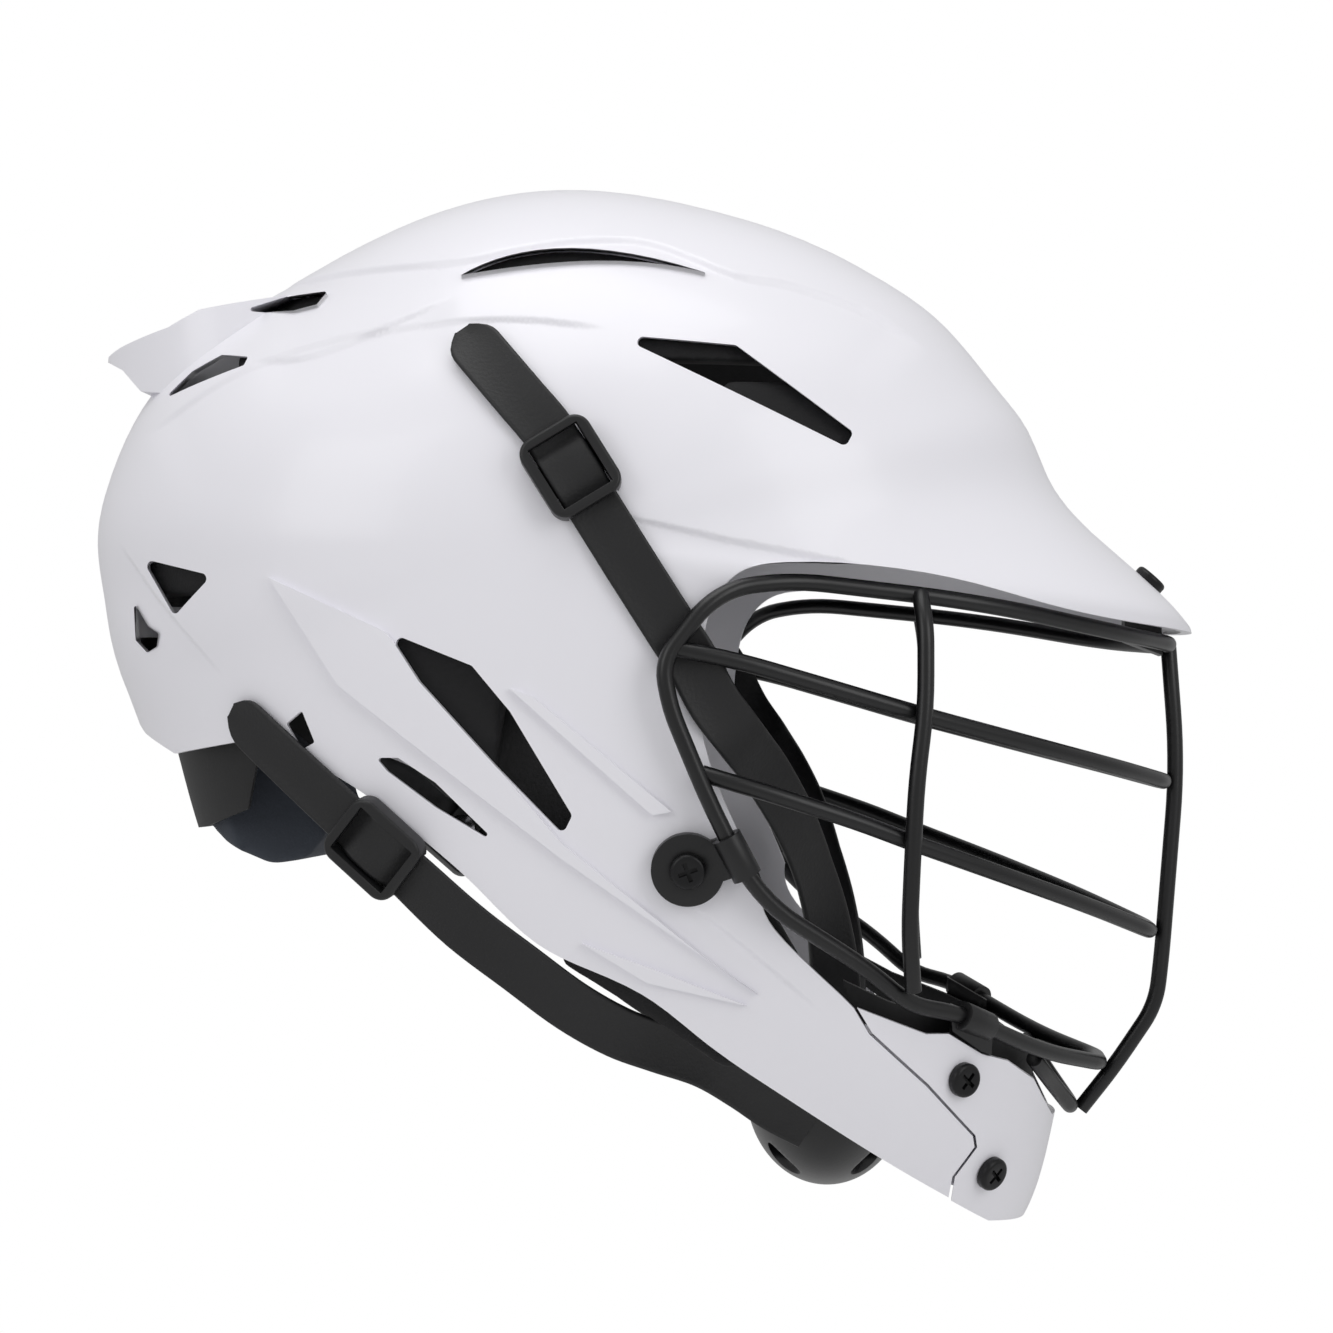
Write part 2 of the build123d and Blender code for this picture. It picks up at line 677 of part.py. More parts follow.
def buckle(snap_plane):
    """Ladder-lock frame: side rails, two raised end bars and a low middle bar with the socket."""
    base = snap_plane.offset(buckle_floor)
    channel = strap_width + 2 * strap_side_gap
    with BuildPart() as piece:
        with BuildSketch(base):
            RectangleRounded(buckle_length, buckle_width, buckle_corner)
        extrude(amount=buckle_height)
        top = piece.faces().sort_by(Axis(base.origin, base.z_dir))[-1]
        fillet(top.edges(), buckle_edge)
        with BuildSketch(base):
            Rectangle(buckle_length - 2 * buckle_rail, channel)
        extrude(amount=buckle_height, mode=Mode.SUBTRACT)
        with BuildSketch(base):
            Rectangle(buckle_length, channel)
        extrude(amount=end_bar_floor, mode=Mode.SUBTRACT)
        with BuildSketch(base):
            Rectangle(middle_bar, channel + 2 * fit_gap)
            Circle(socket_radius, mode=Mode.SUBTRACT)
        extrude(amount=middle_height)
    return piece.part


def socket(snap_plane):
    """Metal ring in the buckle's middle bar that grips the stud."""
    with BuildPart() as piece:
        with BuildSketch(snap_plane.offset(buckle_floor)):
            Circle(socket_radius)
            Circle(snap_radius + fit_gap, mode=Mode.SUBTRACT)
        extrude(amount=middle_height)
    return piece.part


def band(planes):
    """Flat webbing through a row of cross-sections."""
    with BuildPart() as piece:
        for plane in planes:
            with BuildSketch(plane):
                Rectangle(strap_width, strap_thickness)
        loft(ruled=True)
    return piece.part


def skin_station(place, heading, height):
    """Cross-section of a strap that lies on the shell."""
    plane = skin_plane(place, (place[0] + heading[0], place[1] + heading[1]), height)
    return Plane(origin=plane.origin, x_dir=plane.y_dir, z_dir=plane.x_dir)


def free_stations(shares):
    """Cross-sections of a strap away from the shell, from their places, runs and facings."""
    planes = []
    for place, run, facing in shares:
        spread = Vector(*facing).cross(Vector(*run))
        planes.append(Plane(origin=across(place), x_dir=spread, z_dir=run))
    return planes


strap_sets = {
    "upper": (upper_snap_plane, upper_snap, upper_up, upper_down, upper_tail, upper_run_shares, [26, 38, 50, 59]),
    "lower": (lower_snap_plane, lower_snap, lower_up, lower_down, lower_tail, lower_run_shares, []),
}
for name, (plane, snap, up, down, tail_length, run_shares, skin_reaches) in strap_sets.items():
    bend = (snap[0] - down[0] * buckle_pass[0][0], snap[1] - down[1] * buckle_pass[0][0])
    with BuildPart() as frame:
        add(buckle(plane))
    write_pair(frame, f"buckle_{name}")
    with BuildPart() as ring:
        add(socket(plane))
    write_pair(ring, f"snap_socket_{name}")
    tail_planes = []
    for reach in (tail_length, tail_length / 2):
        place = (bend[0] + up[0] * reach, bend[1] + up[1] * reach)
        tail_planes.append(skin_station(place, (-up[0], -up[1]), strap_rest))
    for reach, height in buckle_pass:
        place = (snap[0] - down[0] * reach, snap[1] - down[1] * reach)
        tail_planes.append(skin_station(place, down, height))
    with BuildPart() as tail:
        add(band(tail_planes))
    write_pair(tail, f"strap_tail_{name}")
    run_planes = []
    for reach in [12.6, *skin_reaches]:
        place = (snap[0] + down[0] * reach, snap[1] + down[1] * reach)
        run_planes.append(skin_station(place, down, strap_rest))
    with BuildPart() as run:
        add(band([*run_planes, *free_stations(run_shares)]))
    write_pair(run, f"strap_{name}")

# Chin cup: a moulded bowl with a foam lining, carried by the four straps
cup_place = Plane(origin=across(cup_share), x_dir=cup_forward, z_dir=cup_up)
cup_window_spots = [
    (cup_length * along, cup_width * side)
    for along in (-cup_window_share, cup_window_share)
    for side in (-cup_window_share, cup_window_share)
]


def cup_solid(inset):
    """Closed lower half of the cup's form, drawn in by inset."""
    with BuildPart() as bowl:
        Sphere(1)
        scale(by=(cup_length / 2 - inset, cup_width / 2 - inset, cup_depth - inset))
        split(bisect_by=Plane.XY, keep=Keep.BOTTOM)
    return bowl.part


with BuildPart() as cup_windows:
    with Locations(*cup_window_spots):
        Cylinder(cup_window_radius, 2 * cup_depth)
with BuildPart() as chin_cup:
    add(cup_solid(0))
    add(cup_solid(cup_wall), mode=Mode.SUBTRACT)
    add(cup_windows.part, mode=Mode.SUBTRACT)
write(cup_place * chin_cup.part, "chin_cup")
with BuildPart() as cup_pad:
    add(cup_solid(cup_wall + soft_gap))
    add(cup_solid(cup_wall + soft_gap + cup_pad_thickness), mode=Mode.SUBTRACT)
    add(cup_windows.part, mode=Mode.SUBTRACT)
write(cup_place * cup_pad.part, "chin_cup_pad")
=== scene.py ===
# %% [markdown]
# # Lacrosse helmet
# A white moulded shell with a black wire mask. Four straps snap on with buckles, and inside are
# foam pads, a chin cup and a nape cradle. A frame of CAD solids gives every place and size, and a
# solid stays wherever its own shape is right. Blender adds what CAD leaves out: rounded rims,
# pressed creases, curved webbing, softened foam, and the finish of each surface. Lengths are in
# metres unless a comment says mm. +X is forward and +Z is up.

# %% Load the frame
from math import pi, radians, sqrt

import bmesh
import bpy
import numpy as np
from mathutils import Matrix, Vector


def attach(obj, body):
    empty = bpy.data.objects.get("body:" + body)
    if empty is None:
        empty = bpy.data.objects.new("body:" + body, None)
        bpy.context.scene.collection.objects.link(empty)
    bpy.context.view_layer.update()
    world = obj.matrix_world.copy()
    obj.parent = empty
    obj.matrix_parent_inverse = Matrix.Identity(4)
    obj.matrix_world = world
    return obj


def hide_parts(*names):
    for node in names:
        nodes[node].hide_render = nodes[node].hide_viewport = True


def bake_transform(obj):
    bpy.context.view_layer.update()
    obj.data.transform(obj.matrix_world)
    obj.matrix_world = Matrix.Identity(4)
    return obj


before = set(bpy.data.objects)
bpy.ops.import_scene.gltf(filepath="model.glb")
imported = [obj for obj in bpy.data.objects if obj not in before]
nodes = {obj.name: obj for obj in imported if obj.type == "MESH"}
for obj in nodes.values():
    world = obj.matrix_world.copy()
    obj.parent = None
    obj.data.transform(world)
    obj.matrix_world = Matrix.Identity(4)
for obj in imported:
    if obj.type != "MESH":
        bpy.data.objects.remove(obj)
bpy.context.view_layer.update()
mm = 0.001

# %% [markdown]
# ## Colours and surfaces
# A colour is written as it looks on a screen, while a shader counts in light, so each colour is
# turned to linear first. A surface could be built node by node every time. Nearly all of them here
# are one shader and a fine grain, so one function makes them, and only its numbers change. The
# grain is noise on Object coordinates: it has no seam and stays with its piece.


# %% Linear colour and one node
def linear(hex_colour):
    """An sRGB hex colour as the linear colour that the shaders take."""
    channels = [int(hex_colour[i : i + 2], 16) / 255 for i in (1, 3, 5)]
    return [c / 12.92 if c <= 0.04045 else ((c + 0.055) / 1.055) ** 2.4 for c in channels] + [1]


def add_node(tree, kind, settings=None, links=None):
    """Add a node, set its inputs, and link outputs of other nodes to them."""
    node = tree.nodes.new(kind)
    for socket, value in (settings or {}).items():
        node.inputs[socket].default_value = value
    for socket, source in (links or {}).items():
        tree.links.new(source, node.inputs[socket])
    return node


print("a middle grey as light:", round(linear("#808080")[0], 3))

# %% One material
grain_depth = 0.4 * mm
moulded_grain = 10 / 9  # mm


def material(name, colour, roughness, metallic=0.0, coat=0.0, bump=0.0, grain=moulded_grain):
    """A plain surface, with a grain of the given width in mm where bump is above 0."""
    mat = bpy.data.materials.new(name)
    mat.use_nodes = True
    tree = mat.node_tree
    shader = tree.nodes["Principled BSDF"]
    shader.inputs["Base Color"].default_value = linear(colour)
    shader.inputs["Roughness"].default_value = roughness
    shader.inputs["Metallic"].default_value = metallic
    shader.inputs["Coat Weight"].default_value = coat
    if bump:
        place = add_node(tree, "ShaderNodeTexCoord")
        fineness = {"Scale": 1 / (grain * mm), "Detail": 3}
        noise = add_node(tree, "ShaderNodeTexNoise", fineness, {"Vector": place.outputs["Object"]})
        lift = {"Strength": bump, "Distance": grain_depth}
        relief = add_node(tree, "ShaderNodeBump", lift, {"Height": noise.outputs["Fac"]})
        tree.links.new(relief.outputs["Normal"], shader.inputs["Normal"])
    return mat


print("the grain is", grain_depth / mm, "mm deep")

# %% [markdown]
# ## Camera
# The helmet is seen from its right side, slightly from in front and below. A camera could be set by
# eye against the picture. Here its place and focal length come from fitting the helmet's outline,
# which is surer: from this far away, depth looks flat and a small change of angle is hard to see.

# %% Camera
picture_width, focal_length = 1333, 4070  # both in the picture's pixels
film_width = 36
camera_place, camera_target = (0.10237, -1.15756, -0.05181), (0.03035, 0, -0.03035)
nearest_seen = 0.01


def aim(thing, place, target):
    """Turn a camera or a lamp from its place towards a target."""
    thing.rotation_euler = (Vector(target) - Vector(place)).to_track_quat("-Z", "Y").to_euler()


bpy.ops.object.camera_add(location=camera_place)
camera = bpy.context.object
camera.name = "photo_camera"
aim(camera, camera_place, camera_target)
camera.data.sensor_width = film_width
camera.data.lens = film_width * focal_length / picture_width
camera.data.clip_start = nearest_seen
bpy.context.scene.camera = camera
print("lens:", round(camera.data.lens, 1), "mm")

# %% [markdown]
# ## Light and background
# White plastic shows its form only in soft shade. One sun would give hard shadows, so the light
# comes from three large soft boxes, one above and two in front, and from a dim white surround. The
# background has to be white without more light on the helmet. So the surround and the floor turn
# plain white for the camera's rays alone.


# %% Surround
def white_for_camera(tree, shade, glow, surface):
    """The shade stays for all other rays, and the camera sees the glow in its place."""
    path = add_node(tree, "ShaderNodeLightPath")
    links = {0: path.outputs["Is Camera Ray"], 1: shade.outputs[0], 2: glow.outputs[0]}
    either = add_node(tree, "ShaderNodeMixShader", links=links)
    tree.links.new(either.outputs[0], surface)


white = linear("#ffffff")
scene = bpy.context.scene
scene.view_settings.view_transform = "Standard"
world = bpy.data.worlds.new("studio")
scene.world = world
world.use_nodes = True
surround = world.node_tree.nodes["Background"]
surround.inputs["Color"].default_value = white
surround.inputs["Strength"].default_value = 0.5
seen = add_node(world.node_tree, "ShaderNodeBackground", {"Color": white, "Strength": 1.0})
world_surface = world.node_tree.nodes["World Output"].inputs["Surface"]
white_for_camera(world.node_tree, surround, seen, world_surface)
print("surround:", surround.inputs["Strength"].default_value, "of white")


# %% Soft boxes
def soft_box(name, place, target, width, height, power):
    """A large rectangular lamp; lengths in metres, power in watts."""
    bpy.ops.object.light_add(type="AREA", location=place)
    lamp = bpy.context.object
    lamp.name = name
    lamp.data.shape = "RECTANGLE"
    lamp.data.size, lamp.data.size_y = width, height
    lamp.data.energy = power
    aim(lamp, place, target)
    print(name, power, "W")


soft_box("light_above", (-0.05, -0.25, 0.95), (0.02, 0, 0), 0.8, 0.8, 4)
soft_box("light_front_left", (-0.9, -1.1, 0.5), (0, 0, -0.02), 0.7, 0.9, 3.3)
soft_box("light_front_right", (1.0, -0.9, 0.45), (0, 0, -0.02), 0.6, 0.9, 3.6)

# %% Floor
floor_width, floor_height = 6, -0.6
bpy.ops.mesh.primitive_plane_add(size=floor_width, location=(0, 0, floor_height))
floor = bpy.context.object
floor.name = "floor"
floor_paint = material("floor_paint", "#f2f2f2", 0.9)
floor_tree = floor_paint.node_tree
floor_glow = add_node(floor_tree, "ShaderNodeEmission", {"Color": white, "Strength": 1.0})
floor_surface = floor_tree.nodes["Material Output"].inputs["Surface"]
white_for_camera(floor_tree, floor_tree.nodes["Principled BSDF"], floor_glow, floor_surface)
floor.data.materials.append(floor_paint)
print("floor:", floor_width, "m wide at", floor_height, "m")

# %% [markdown]
# ## Hard finishes
# The shell and the guard are moulded in gloss white, the mask is welded wire under a black coat,
# and clips and buckles are moulded in black. Such surfaces could be painted images, but each is the
# same all over, so a plain shader says it all. The blacks have nearly one colour: what tells them
# apart is how wide and how bright their reflections are. The texture of a moulded or coated face,
# usually 0.1 to 0.3 mm, is too fine to show, so its grain is drawn coarser, at 1.1 mm.

# %% Hard finishes
# ABS from a polished mould: a sheen that spreads softly over the curves, under a faint clear gloss.
white_plastic = material("gloss_white_plastic", "#f0eff5", 0.3, coat=0.15)
# Powder-coated steel wire: a narrow highlight runs along each wire and shows its bends.
wire_paint = material("satin_black_paint", "#0b0b0d", 0.34, bump=0.05)
# Nylon from a satin mould, for clips and buckles: a duller and wider highlight than the wire's.
black_plastic = material("satin_black_plastic", "#0e0e10", 0.42, bump=0.06)
# Moulded rubber, for the guard's pad and the soft cradle: dark, with hardly any highlight.
guard_rubber = material("black_rubber", "#0c0c0e", 0.62, bump=0.1)
# Black oxide on steel screws and nuts: dark, with a metal's glint on the heads.
screw_paint = material("black_oxide_steel", "#121214", 0.36, metallic=0.4)
# Chrome plate on studs and snap sockets: a small mirror, bright where a buckle is pulled off.
chrome = material("chrome", "#d8d8da", 0.12, metallic=1.0)
# Semi-gloss moulded plastic, for the chin cup: the brightest highlight of the black plastics.
cup_plastic = material("black_cup_plastic", "#0d0d0f", 0.3, bump=0.04)
# Pale acetal, as moulded, for the cradle's guides: an even, low gloss.
pale_plastic = material("pale_plastic", "#dfe2e5", 0.35)
print("hard finishes, from", white_plastic.name, "to", pale_plastic.name)

# %% [markdown]
# ## Soft finishes
# The pads are closed-cell foam with a matt skin, black in the shell and blue-grey at the nape, and
# the straps are woven webbing. A weave could be drawn thread by thread. From here it shows only as
# a dull and slightly uneven face, so a noise grain does for both. Foam cells, usually 0.2 to 0.4 mm
# wide, are too fine to show, so they are drawn coarser, at 0.7 mm. Webbing usually has ribs a
# little under 1 mm apart, and its grain is drawn at 0.9 mm.

# %% Soft finishes
foam_grain, webbing_grain = 5 / 7, 10 / 11  # mm
# Foam with a moulded skin: black and matt, with no highlight, only a soft fall of light.
liner_foam = material("black_foam", "#0f0f11", 0.85, bump=0.35, grain=foam_grain)
# The same foam, dyed blue-grey: it stands out against the black cradle that carries it.
nape_foam = material("blue_grey_foam", "#363b44", 0.85, bump=0.3, grain=foam_grain)
# Flat woven webbing: a broad, broken sheen across the band.
webbing = material("black_webbing", "#111113", 0.5, bump=0.25, grain=webbing_grain)
print("soft finishes:", liner_foam.name, nape_foam.name, webbing.name)

# %% [markdown]
# ## Pieces that keep their CAD shape
# Wires, clips, screws, studs, buckles, guides, cradle and cup are exact in CAD already. They could
# be modelled again, which would only add error, so they keep their mesh and get a finish. Beside
# each finish the lists give the slot that the part's record has for it. The shell and the guard are
# in the list because a plain finish on them is right too, until their own pieces replace them.


# %% Dress one piece
def dress(obj, mat):
    """Put a finish on a piece."""
    obj.data.materials.clear()
    obj.data.materials.append(mat)


looks = {
    "shell": (white_plastic, "white_shell"),
    "chin_guard": (white_plastic, "white_guard"),
    "chin_guard_pad": (guard_rubber, "guard_rubber"),
    "chin_guard_screws": (screw_paint, "steel_screw"),
    "chin_guard_nuts": (screw_paint, "steel_screw"),
    "side_clip_screws": (screw_paint, "steel_screw"),
    "side_clip_nuts": (screw_paint, "steel_screw"),
    "visor_screw": (screw_paint, "steel_screw"),
    "snap_studs": (chrome, "steel_screw"),
    "visor_clip": (black_plastic, "black_plastic"),
    "cradle_guides": (pale_plastic, "guide_plastic"),
    "nape_cradle": (guard_rubber, "cradle_plastic"),
    "chin_cup": (cup_plastic, "cup_plastic"),
}
print("single pieces:", len(looks))

# %% Families of pieces, by the start of their names
families = {
    "cage_": (wire_paint, "black_wire"),
    "side_clip_right": (black_plastic, "black_plastic"),
    "side_clip_left": (black_plastic, "black_plastic"),
    "chin_clip": (black_plastic, "black_plastic"),
    "buckle_": (black_plastic, "buckle_plastic"),
    "snap_socket": (chrome, "snap_chrome"),
}
for name in nodes:
    for start, look in families.items():
        if name.startswith(start):
            looks[name] = look
for name, (mat, slot_name) in looks.items():
    dress(nodes[name], mat)
print("dressed nodes:", len(looks))

# %% [markdown]
# ## Softened edges
# No moulding or bent wire has a knife edge: each edge is rounded a little and catches a thin line
# of light. It could be filleted in CAD, at the price of heavy solids. A bevel modifier does it
# here and leaves the CAD mesh as it is. That mesh is loose triangles, so a weld joins them first.

# %% Round the edges of the CAD pieces
join_distance = 1e-6
sharp_angle = radians(35)


def round_edges(obj, width, segments):
    """A bevel on the edges that are sharper than the angle above."""
    bevel = obj.modifiers.new("rounded", "BEVEL")
    bevel.width = width
    bevel.segments = segments
    bevel.limit_method = "ANGLE"
    bevel.angle_limit = sharp_angle


def soften(obj, width=0.25 * mm, segments=2):
    """Round the sharp edges of a CAD piece with modifiers and shade the rest smooth."""
    weld = obj.modifiers.new("joined", "WELD")
    weld.merge_threshold = join_distance
    round_edges(obj, width, segments)
    for face in obj.data.polygons:
        face.use_smooth = True


remade = ("shell", "chin_guard")
for name in looks:
    if name not in remade:
        soften(nodes[name])
print("softened nodes:", len(looks) - len(remade))

# %% [markdown]
# ## The shell's form
# The shell is one bulging moulding, and gloss white shows every flat facet on it. A subdivision
# surface could smooth it, but would pull its vents and rims out of place. The CAD source builds the
# shell by one rule: a side outline that shrinks towards the middle as it moves out sideways. The
# same rule here gives the true direction of the surface at any place, and the smooth shading is
# taken from that.

# %% The side outline: points in mm, forward and up
outline = [
    (178, -19), (170, -10), (151, 7), (139, 22), (133, 36), (125, 47), (107, 68), (93, 78),
    (70, 90), (46, 98), (23, 103), (0, 104.5), (-28, 100), (-60, 86.5), (-88, 70), (-105, 58),
    (-118, 43), (-127, 24), (-131, 6), (-129, -12), (-126, -28), (-120, -44), (-113, -68),
    (-100, -105), (-74, -150), (-38, -186), (6, -206), (52, -214), (98, -206), (128, -190),
    (139, -162), (148, -118), (160, -70), (174, -32),
]
print("outline points:", len(outline))


# %% A smooth closed curve through the outline
def between(start, end, slope_start, slope_end, t):
    """A place on the smooth curve from start to end, with t from 0 to 1."""
    return (
        (2 * t**3 - 3 * t**2 + 1) * start + (t**3 - 2 * t**2 + t) * slope_start
        + (3 * t**2 - 2 * t**3) * end + (t**3 - t**2) * slope_end
    )


def closed_curve(points, steps=24):
    """Points along the smooth closed curve through the outline's points."""
    p = np.array(points, float)
    count = len(p)
    gap = np.linalg.norm(np.roll(p, -1, 0) - p, axis=1)
    # the slopes at the points are those that leave no jump in the curve's bend
    a, b = np.zeros((count, count)), np.zeros((count, 2))
    for i in range(count):
        h0, h1, after = gap[i - 1], gap[i], (i + 1) % count
        a[i, i - 1] += h1
        a[i, i] += 2 * (h0 + h1)
        a[i, after] += h0
        b[i] = 3 * (h1 * (p[i] - p[i - 1]) / h0 + h0 * (p[after] - p[i]) / h1)
    slope = np.linalg.solve(a, b)
    result = []
    for i in range(count):
        h, after = gap[i], (i + 1) % count
        for t in np.arange(steps) / steps:
            result.append(between(p[i], p[after], h * slope[i], h * slope[after], t))
    return np.array(result)


curve = closed_curve(outline)
print("points along the curve:", len(curve))

# %% How far the outline reaches in each direction
curve_angles = np.arctan2(curve[:, 1], curve[:, 0])
order = np.argsort(curve_angles)
turns = np.concatenate([curve_angles[order] + turn for turn in (-2 * pi, 0, 2 * pi)])
reaches = np.tile(np.hypot(curve[:, 0], curve[:, 1])[order], 3)
half_width, fullness = 105.0, 2.2


def outline_share(x, z):
    """How far out towards the outline places in mm lie, from 0 in the middle to 1."""
    return np.hypot(x, z) / np.interp(np.arctan2(z, x), turns, reaches)


def width_at(x, z):
    """Half width in mm at places in mm, as arrays."""
    return half_width * (1 - np.minimum(1, outline_share(x, z)) ** fullness) ** (1 / fullness)


print("farthest reach:", round(reaches.max(), 1), "mm")

# %% The direction of the surface
shortest = 1e-12


def unit(vectors):
    """The vectors at length 1; one without length stays without."""
    return vectors / np.maximum(shortest, np.linalg.norm(vectors, axis=1, keepdims=True))


def level(x, y, z):
    """Below 1 inside the form and above 1 outside; its slope points outwards."""
    return outline_share(x, z) ** fullness + np.abs(y / half_width) ** fullness


def outward(points, step=0.6):
    """Outward directions of the form at points in mm."""
    x, y, z = points.T
    slope = np.stack(
        [
            level(x + step, y, z) - level(x - step, y, z),
            level(x, y + step, z) - level(x, y - step, z),
            level(x, y, z + step) - level(x, y, z - step),
        ],
        axis=1,
    )
    return unit(slope)


print("direction at the right side:", outward(np.array([[0.0, -half_width, 0.0]]))[0].round(2))

# %% [markdown]
# ## Creases
# Long creases stiffen the real shell: below a line the surface steps in by a millimetre or two, and
# further down it comes back up. They could be cut in CAD or sculpted. They are too shallow to be
# worth a CAD feature, and a sculpted line is seldom even. So each is a line seen from the side,
# with a depth and a distance over which the surface comes back, and the face is pressed in by that.
# Depth and distance are judged from the shading.

# %% Crease lines: points in mm from back to front, depth, and distance to come back over
creases = [
    (
        [
            (-79, 76), (-53, 77), (-22, 77.5), (-4, 81), (12, 83.5), (30, 83), (53, 74),
            (68, 71.6), (89, 64.7), (105, 54.4),
        ],
        1.4, 30,
    ),
    ([(-80, 51), (-60, 52.5), (-36, 61), (-20, 68.5)], 1.0, 16),
    (
        [(-111, 31), (-92, 42.5), (-75, 50.5), (-55, 56), (-30, 59.8), (-3, 60.1), (22, 57)],
        0.9, 34,
    ),
    ([(24, 7), (36, 4.6), (52, 1), (68, -2), (92, -6.5)], 1.2, 11),
    ([(-118, 4), (-103, -14), (-82, -36)], 0.9, 18),
    ([(40, -92), (60, -108.5), (79, -125)], 0.7, 9),
]


def rounded_line(points, steps=5):
    """A smooth open curve through points seen from the side."""
    p = np.array(points, float)
    slope = np.gradient(p, axis=0)
    t = np.linspace(0, 1, steps, endpoint=False)[:, None]
    parts = [between(p[i], p[i + 1], slope[i], slope[i + 1], t) for i in range(len(p) - 1)]
    return np.concatenate([*parts, p[-1:]])


crease_lines = [(rounded_line(points), depth, fade) for points, depth, fade in creases]
print("creases a side:", len(crease_lines))

# %% Distance to a crease line
far = 1e9


def along_line(p, x, z):
    """Signed distance below a line and the travel along it to the nearest place, in mm."""
    spots = np.concatenate([[0], np.cumsum(np.linalg.norm(np.diff(p, axis=0), axis=1))])
    near, signed, travel = np.full(x.shape, far), np.zeros(x.shape), np.zeros(x.shape)
    for i in range(len(p) - 1):
        run = p[i + 1] - p[i]
        length = np.linalg.norm(run)
        share = np.clip(((x - p[i, 0]) * run[0] + (z - p[i, 1]) * run[1]) / length**2, 0, 1)
        dx, dz = x - p[i, 0] - run[0] * share, z - p[i, 1] - run[1] * share
        distance = np.hypot(dx, dz)
        side = np.sign(run[1] * (x - p[i, 0]) - run[0] * (z - p[i, 1]))
        closer = distance < near
        near = np.where(closer, distance, near)
        signed = np.where(closer, distance * side, signed)
        travel = np.where(closer, spots[i] + share * length, travel)
    return signed, travel, spots[-1]


crease_length = along_line(crease_lines[0][0], np.zeros(1), np.zeros(1))[2]
print("first crease:", round(float(crease_length)), "mm long")

# %% Depth of the press at any place
crease_run_out = 14  # mm over which a crease fades in and out at its ends
crease_lip = 0.8  # half the width of its step, in mm


def ease(t):
    """From 0 to 1 with a soft start and end."""
    t = np.clip(t, 0, 1)
    return t * t * (3 - 2 * t)


def pressed(x, z):
    """How far the outer face is pressed in, in mm, at places seen from the side."""
    total = np.zeros(x.shape)
    for line, depth, fade in crease_lines:
        below, travel, length = along_line(line, x, z)
        ends = ease(travel / crease_run_out) * ease((length - travel) / crease_run_out)
        step = ease((below + crease_lip) / (2 * crease_lip))
        total += depth * ends * step * (1 - ease(below / fade))
    return total


crease_depth = pressed(np.array([30.0]), np.array([80.0]))[0]
print("press below the first crease:", round(float(crease_depth), 2), "mm")

# %% [markdown]
# ## Finer faces where the creases run
# A crease shows only where the faces are smaller than its step. A subdivision modifier could split
# the whole shell that finely, for many more faces than the rest of it needs. Here only long edges
# of the outer face are split, again and again, down to a length that depends on how near the
# closest crease is.

# %% How long an edge may be
fine_band, fine_edge = 2.5, 1.2  # mm from a crease, and the longest edge there in mm
middle_band, middle_edge = 9, 2.6
coarse_edge = 6.0


def longest_edge(middles):
    """The longest edge in mm that may stay at places in mm."""
    near = np.full(len(middles), far)
    for line, _, _ in crease_lines:
        near = np.minimum(near, np.abs(along_line(line, middles[:, 0], middles[:, 2])[0]))
    limit = np.where(near < middle_band, middle_edge, coarse_edge)
    return np.where(near < fine_band, fine_edge, limit)


print("edges from", fine_edge, "mm at a crease to", coarse_edge, "mm far from one")

# %% Split long edges
split_rounds = 7
faces_outwards = 0.9  # the least cosine between an outer face's normal and the form's direction


def refine(obj):
    """Split long edges of the outer face, finely along the creases."""
    work = bmesh.new()
    work.from_mesh(obj.data)
    for _ in range(split_rounds):
        work.edges.ensure_lookup_table()
        middles = np.array([(e.verts[0].co + e.verts[1].co) / 2 for e in work.edges]) / mm
        lengths = np.array([e.calc_length() for e in work.edges]) / mm
        beside = [e.link_faces for e in work.edges]
        normals = np.array([faces[0].normal if faces else (0, 0, 0) for faces in beside])
        outside = (outward(middles) * normals).sum(axis=1) > faces_outwards
        too_long = np.nonzero(outside & (lengths > longest_edge(middles)))[0]
        chosen = [work.edges[i] for i in too_long]
        if not chosen:
            break
        bmesh.ops.subdivide_edges(work, edges=chosen, cuts=1)
        bmesh.ops.triangulate(work, faces=[f for f in work.faces if len(f.verts) > 4])
    work.to_mesh(obj.data)
    work.free()
    print(obj.name, "split into", len(obj.data.polygons), "faces")


# %% [markdown]
# ## Smooth shading from the form
# Gloss plastic shows which way its surface faces at every point, and Blender takes that from a
# normal at each corner of a face. Smoothing by angle could set these, but it smears the shade round
# the thin rims of the vents. Here a face that follows the form, outside or inside, takes the form's
# own direction, leaning with the slope of a crease. A rounded rim blends over to the cut edge, and
# any other face keeps its flat normal.

# %% Which faces follow the form
follows_form = 0.955  # the least cosine between a face's normal and the form's direction


def read(items, name, kind=float, width=1):
    """One value of every item of a mesh, as an array."""
    values = np.zeros(len(items) * width, kind)
    items.foreach_get(name, values)
    return values.reshape(-1, width) if width > 1 else values


def sides_of_form(mesh, direction):
    """Of each face corner its vertex, face, face normal, and whether and how it follows the form;
    and of each vertex its side: 1 outside, -1 inside, 0 off the form."""
    corners = read(mesh.loops, "vertex_index", int)
    counts = read(mesh.polygons, "loop_total", int)
    face_of = np.repeat(np.arange(len(counts)), counts)
    own = read(mesh.polygons, "normal", width=3)[face_of]
    along = (np.bincount(face_of, (direction[corners] * own).sum(1)) / counts)[face_of]
    on_form = np.abs(along) > follows_form
    side = np.zeros(len(direction))
    side[corners[on_form]] = np.sign(along[on_form])
    return corners, face_of, own, on_form, np.sign(along), side


